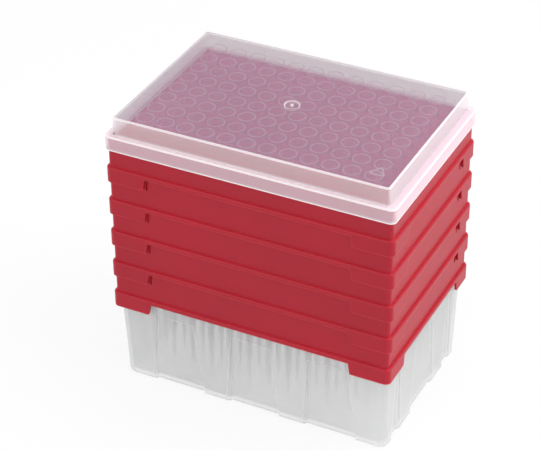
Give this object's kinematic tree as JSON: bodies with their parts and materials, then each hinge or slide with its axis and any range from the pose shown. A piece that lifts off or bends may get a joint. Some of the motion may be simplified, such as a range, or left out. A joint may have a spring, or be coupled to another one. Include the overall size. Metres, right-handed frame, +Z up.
{
  "type": "pipette tip refill pack",
  "caption": "Stacked refill pack of pipette tips: an open tub, red racks full of nested tips and a see-through lid that all lift off one another.",
  "frame": {"origin": "on the table, in the middle of the tub's footprint", "axes": "+Z up, +X along the long side, +Y to the back"},
  "size_m": [0.1264, 0.0848, 0.1287],
  "materials": {
    "frosted_plastic": "frosted natural polypropylene, satin",
    "red_plastic": "moulded red polypropylene, satin gloss",
    "tip_plastic": "natural polypropylene, smooth",
    "clear_plastic": "see-through polypropylene, glossy with a light frost"
  },
  "bodies": {
    "tub": {"tub": "frosted_plastic"},
    "deck_1": {"deck_1": "red_plastic", "deck_1_plate": "red_plastic", "tips_deck_1_row_a": "tip_plastic", "tips_deck_1_row_b": "tip_plastic", "tips_deck_1_row_c": "tip_plastic", "tips_deck_1_row_d": "tip_plastic", "tips_deck_1_row_e": "tip_plastic", "tips_deck_1_row_f": "tip_plastic", "tips_deck_1_row_g": "tip_plastic", "tips_deck_1_row_h": "tip_plastic"},
    "deck_2": {"deck_2": "red_plastic", "deck_2_plate": "red_plastic", "tips_deck_2_row_a": "tip_plastic", "tips_deck_2_row_b": "tip_plastic", "tips_deck_2_row_c": "tip_plastic", "tips_deck_2_row_d": "tip_plastic", "tips_deck_2_row_e": "tip_plastic", "tips_deck_2_row_f": "tip_plastic", "tips_deck_2_row_g": "tip_plastic", "tips_deck_2_row_h": "tip_plastic"},
    "deck_3": {"deck_3": "red_plastic", "deck_3_plate": "red_plastic", "tips_deck_3_row_a": "tip_plastic", "tips_deck_3_row_b": "tip_plastic", "tips_deck_3_row_c": "tip_plastic", "tips_deck_3_row_d": "tip_plastic", "tips_deck_3_row_e": "tip_plastic", "tips_deck_3_row_f": "tip_plastic", "tips_deck_3_row_g": "tip_plastic", "tips_deck_3_row_h": "tip_plastic"},
    "deck_4": {"deck_4": "red_plastic", "deck_4_plate": "red_plastic", "tips_deck_4_row_a": "tip_plastic", "tips_deck_4_row_b": "tip_plastic", "tips_deck_4_row_c": "tip_plastic", "tips_deck_4_row_d": "tip_plastic", "tips_deck_4_row_e": "tip_plastic", "tips_deck_4_row_f": "tip_plastic", "tips_deck_4_row_g": "tip_plastic", "tips_deck_4_row_h": "tip_plastic"},
    "deck_5": {"deck_5": "red_plastic", "deck_5_plate": "red_plastic", "tips_deck_5_row_a": "tip_plastic", "tips_deck_5_row_b": "tip_plastic", "tips_deck_5_row_c": "tip_plastic", "tips_deck_5_row_d": "tip_plastic", "tips_deck_5_row_e": "tip_plastic", "tips_deck_5_row_f": "tip_plastic", "tips_deck_5_row_g": "tip_plastic", "tips_deck_5_row_h": "tip_plastic"},
    "lid": {"lid": "clear_plastic"}
  },
  "joints": [
    {"name": "deck_1_lift", "type": "slide", "parent": "tub", "child": "deck_1", "axis": [0, 0, 1], "range_m": [0, 0.036]},
    {"name": "deck_2_lift", "type": "slide", "parent": "deck_1", "child": "deck_2", "axis": [0, 0, 1], "range_m": [0, 0.045]},
    {"name": "deck_3_lift", "type": "slide", "parent": "deck_2", "child": "deck_3", "axis": [0, 0, 1], "range_m": [0, 0.045]},
    {"name": "deck_4_lift", "type": "slide", "parent": "deck_3", "child": "deck_4", "axis": [0, 0, 1], "range_m": [0, 0.045]},
    {"name": "deck_5_lift", "type": "slide", "parent": "deck_4", "child": "deck_5", "axis": [0, 0, 1], "range_m": [0, 0.045]},
    {"name": "lid_lift", "type": "slide", "parent": "deck_5", "child": "lid", "axis": [0, 0, 1], "range_m": [0, 0.03]}
  ]
}
